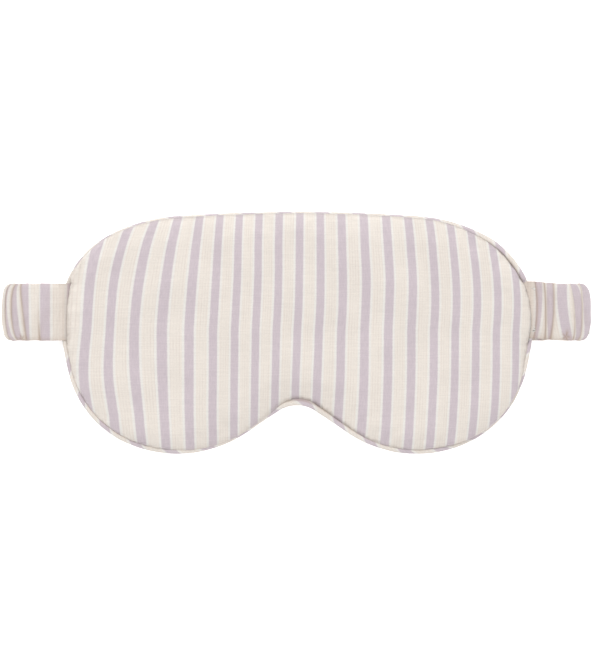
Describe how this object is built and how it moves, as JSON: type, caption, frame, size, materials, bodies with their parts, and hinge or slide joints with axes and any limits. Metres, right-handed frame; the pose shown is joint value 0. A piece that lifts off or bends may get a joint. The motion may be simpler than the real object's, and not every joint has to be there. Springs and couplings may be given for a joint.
{
  "type": "sleep eye mask",
  "caption": "Padded sleep mask with a nose notch, piped edge and an elastic head strap in a ruched casing that lies folded behind it.",
  "frame": {"origin": "middle of the outline on the surface the mask lies on, back face down", "axes": "+X along the mask to the right strap end, +Y towards the forehead edge, +Z out of the front face"},
  "size_m": [0.269, 0.1102, 0.0122],
  "materials": {
    "cover_fabric": "woven cotton, fine mauve and cream stripes",
    "piping_fabric": "the same cotton cut on the bias",
    "strap_fabric": "the same cotton, ruched",
    "wadding": "polyester wadding",
    "lining": "opaque black lining",
    "cord": "cotton filler cord",
    "thread": "polyester sewing thread",
    "elastic": "woven elastic webbing"
  },
  "bodies": {
    "mask": {"front_cover": "cover_fabric", "front_wadding": "wadding", "blackout_lining": "lining", "back_wadding": "wadding", "back_cover": "cover_fabric", "piping_cover": "piping_fabric", "piping_cord": "cord", "perimeter_seam_thread": "thread", "closing_stitches": "thread", "left_bar_tack": "thread", "right_bar_tack": "thread", "left_strap_end_casing": "strap_fabric", "left_strap_end_elastic": "elastic", "right_strap_end_casing": "strap_fabric", "right_strap_end_elastic": "elastic"},
    "left_strap_side": {"left_side_casing": "strap_fabric", "left_side_elastic": "elastic"},
    "left_strap_back_outer": {"left_back_outer_casing": "strap_fabric", "left_back_outer_elastic": "elastic"},
    "left_strap_back_inner": {"left_back_inner_casing": "strap_fabric", "left_back_inner_elastic": "elastic"},
    "left_strap_back_centre": {"left_back_centre_casing": "strap_fabric", "left_back_centre_elastic": "elastic"},
    "right_strap_side": {"right_side_casing": "strap_fabric", "right_side_elastic": "elastic"},
    "right_strap_back_outer": {"right_back_outer_casing": "strap_fabric", "right_back_outer_elastic": "elastic"},
    "right_strap_back_inner": {"right_back_inner_casing": "strap_fabric", "right_back_inner_elastic": "elastic"},
    "right_strap_back_centre": {"right_back_centre_casing": "strap_fabric", "right_back_centre_elastic": "elastic"}
  },
  "joints": [
    {"name": "left_strap_open", "type": "hinge", "parent": "mask", "child": "left_strap_side", "pos_m": [-0.1101, 0.00945, 0.0045], "axis": [0, -1, 0], "range_deg": [0, 90]},
    {"name": "left_strap_fold", "type": "hinge", "parent": "left_strap_side", "child": "left_strap_back_outer", "pos_m": [-0.13155, 0.00945, 0.00295], "axis": [0, -1, 0], "range_deg": [-140.1, 0]},
    {"name": "left_back_bend_outer", "type": "hinge", "parent": "left_strap_back_outer", "child": "left_strap_back_inner", "pos_m": [-0.07893, 0.00945, 0.0014], "axis": [0, -1, 0], "range_deg": [0, 30.7]},
    {"name": "left_back_bend_inner", "type": "hinge", "parent": "left_strap_back_inner", "child": "left_strap_back_centre", "pos_m": [-0.02631, 0.00945, 0.0014], "axis": [0, -1, 0], "range_deg": [0, 19.6]},
    {"name": "right_strap_open", "type": "hinge", "parent": "mask", "child": "right_strap_side", "pos_m": [0.1101, 0.00945, 0.0045], "axis": [0, 1, 0], "range_deg": [0, 90.1]},
    {"name": "right_strap_fold", "type": "hinge", "parent": "right_strap_side", "child": "right_strap_back_outer", "pos_m": [0.13155, 0.00945, 0.00295], "axis": [0, 1, 0], "range_deg": [-140.1, 0]},
    {"name": "right_back_bend_outer", "type": "hinge", "parent": "right_strap_back_outer", "child": "right_strap_back_inner", "pos_m": [0.07893, 0.00945, 0.0014], "axis": [0, 1, 0], "range_deg": [0, 30.7]},
    {"name": "right_back_bend_inner", "type": "hinge", "parent": "right_strap_back_inner", "child": "right_strap_back_centre", "pos_m": [0.02631, 0.00945, 0.0014], "axis": [0, 1, 0], "range_deg": [0, 19.6]}
  ],
  "couplings": [
    {"joint": "left_strap_fold", "follows": "left_strap_open", "ratio": -1.5556},
    {"joint": "left_back_bend_outer", "follows": "left_strap_open", "ratio": 0.33897},
    {"joint": "left_back_bend_inner", "follows": "left_strap_open", "ratio": 0.21659},
    {"joint": "right_strap_open", "follows": "left_strap_open", "ratio": 1},
    {"joint": "right_strap_fold", "follows": "left_strap_open", "ratio": -1.5556},
    {"joint": "right_back_bend_outer", "follows": "left_strap_open", "ratio": 0.33897},
    {"joint": "right_back_bend_inner", "follows": "left_strap_open", "ratio": 0.21659}
  ]
}
